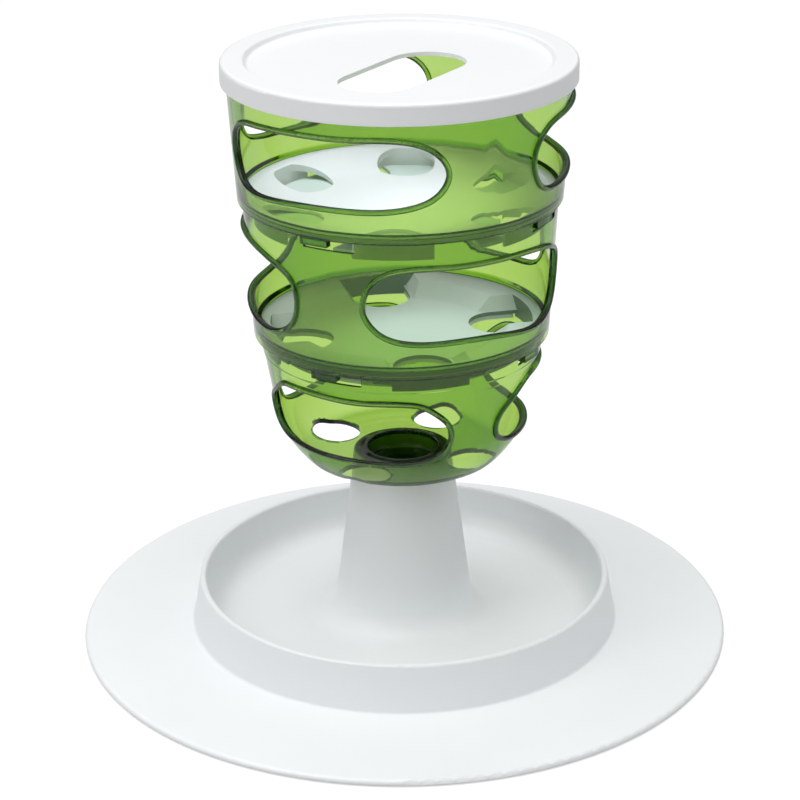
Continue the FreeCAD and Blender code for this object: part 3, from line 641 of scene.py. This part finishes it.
# Studio tent: white cloth all round. Its roof is bright and its sides are dim, so the sharply
# bent light in edges and beads of the green plastic is dark.
TENT_FOOT_RISE = 0.05
TENT_ROOF_RISE = 0.95
TENT_FOOT_LIGHT = 0.08
TENT_ROOF_LIGHT = 1.0
BENT_SHARE = 0.3
world = bpy.data.worlds.new("studio tent")
scene.world = world
world.use_nodes = True
tree = world.node_tree
tree.nodes.clear()
way = add_node(tree, "ShaderNodeTexCoord").outputs["Generated"]
rise = add_node(tree, "ShaderNodeSeparateXYZ", [("Vector", way)]).outputs["Z"]
cloth = add_node(tree, "ShaderNodeMapRange", [("Value", rise)], interpolation_type="SMOOTHSTEP")
cloth.inputs["From Min"].default_value = TENT_FOOT_RISE
cloth.inputs["From Max"].default_value = TENT_ROOF_RISE
cloth.inputs["To Min"].default_value = TENT_FOOT_LIGHT
cloth.inputs["To Max"].default_value = TENT_ROOF_LIGHT
rays = add_node(tree, "ShaderNodeLightPath")
bent = add_node(tree, "ShaderNodeMapRange", [("Value", rays.outputs["Is Transmission Ray"])])
bent.inputs["To Min"].default_value = 1.0
bent.inputs["To Max"].default_value = BENT_SHARE
strength = add_node(tree, "ShaderNodeMath", [(0, cloth.outputs["Result"]),
                                             (1, bent.outputs["Result"])], operation="MULTIPLY")
tent = add_node(tree, "ShaderNodeBackground", [("Strength", strength.outputs[0])])
tent.inputs["Color"].default_value = (1.0, 1.0, 1.0, 1.0)
add_node(tree, "ShaderNodeOutputWorld", [("Surface", tent.outputs[0])])


# Softboxes: a large one over the tent's roof and weaker ones at the sides and in front, all
# turned to the object's middle.
def softbox(name, place, target, width, height, power, spread=180.0):
    """An area light that faces a target. Sizes in metres, power in watts, spread in degrees."""
    light = bpy.data.lights.new(name, "AREA")
    light.shape = "RECTANGLE"
    light.size = width
    light.size_y = height
    light.energy = power
    light.spread = math.radians(spread)
    lamp = bpy.data.objects.new(name, light)
    scene.collection.objects.link(lamp)
    lamp.location = place
    lamp.rotation_euler = (Vector(target) - Vector(place)).to_track_quat("-Z", "Y").to_euler()
    return lamp


OBJECT_MIDDLE = (0.0, 0.0, 0.15)
for name, place, width, height, power in (
        ("top softbox", (-0.2, -0.1, 1.9), 1.6, 1.6, 14.5),
        ("left softbox", (-1.5, -0.9, 1.2), 1.0, 1.2, 6.0),
        ("right softbox", (1.5, -0.9, 1.2), 1.0, 1.2, 1.6),
        ("front softbox", (-0.1, -1.9, 0.7), 1.0, 0.8, 1.6)):
    softbox(name, place, OBJECT_MIDDLE, width, height, power)

# Fill lights: weak soft light inside the two upper drums, for what the white lid, disc and walls
# hand on in there. They are seen neither directly nor in the plastic.
FILL_SPREAD = 60.0
for name, place, width, power, colour in (
        ("light under the lid", (-0.015, 0.0, 0.300), 0.15, 0.043, "#F2F3FF"),
        ("light under the disc", (0.015, -0.025, 0.2325), 0.12, 0.019, "#DDF6E8")):
    below = (place[0], place[1], 0.0)
    lamp = softbox(name, place, below, width, width, power, FILL_SPREAD)
    lamp.data.shape = "DISK"
    lamp.data.color = linear(colour)[:3]
    lamp.visible_camera = False
    lamp.visible_glossy = False
    lamp.visible_transmission = False

# Camera: at the photograph's viewing angle, fitted to the outlines of the tray, drums and lid.
# The plastic needs deep bounces, because a ray crosses many walls.
YAW = math.radians(-0.0615)
PITCH = math.radians(22.819)
ROLL = math.radians(-0.564)
CAMERA_PLACE = (0.0, -1.1586, 0.6178)
PIXELS = 800
FOCAL_PIXELS = 2365.5
forward = Vector((math.sin(YAW) * math.cos(PITCH), math.cos(YAW) * math.cos(PITCH),
                  -math.sin(PITCH)))
level_right = Vector((math.cos(YAW), -math.sin(YAW), 0.0))
level_up = level_right.cross(forward)
right = math.cos(ROLL) * level_right + math.sin(ROLL) * level_up
up = -math.sin(ROLL) * level_right + math.cos(ROLL) * level_up
camera = bpy.data.objects.new("camera", bpy.data.cameras.new("camera"))
scene.collection.objects.link(camera)
turn = Matrix((right, up, -forward)).transposed().to_4x4()
camera.matrix_world = Matrix.Translation(CAMERA_PLACE) @ turn
camera.data.sensor_width = 36.0
camera.data.lens = camera.data.sensor_width * FOCAL_PIXELS / PIXELS
camera.data.clip_start = 0.05
scene.camera = camera
scene.view_settings.view_transform = "Standard"
scene.cycles.transparent_max_bounces = 32
scene.cycles.transmission_bounces = 16
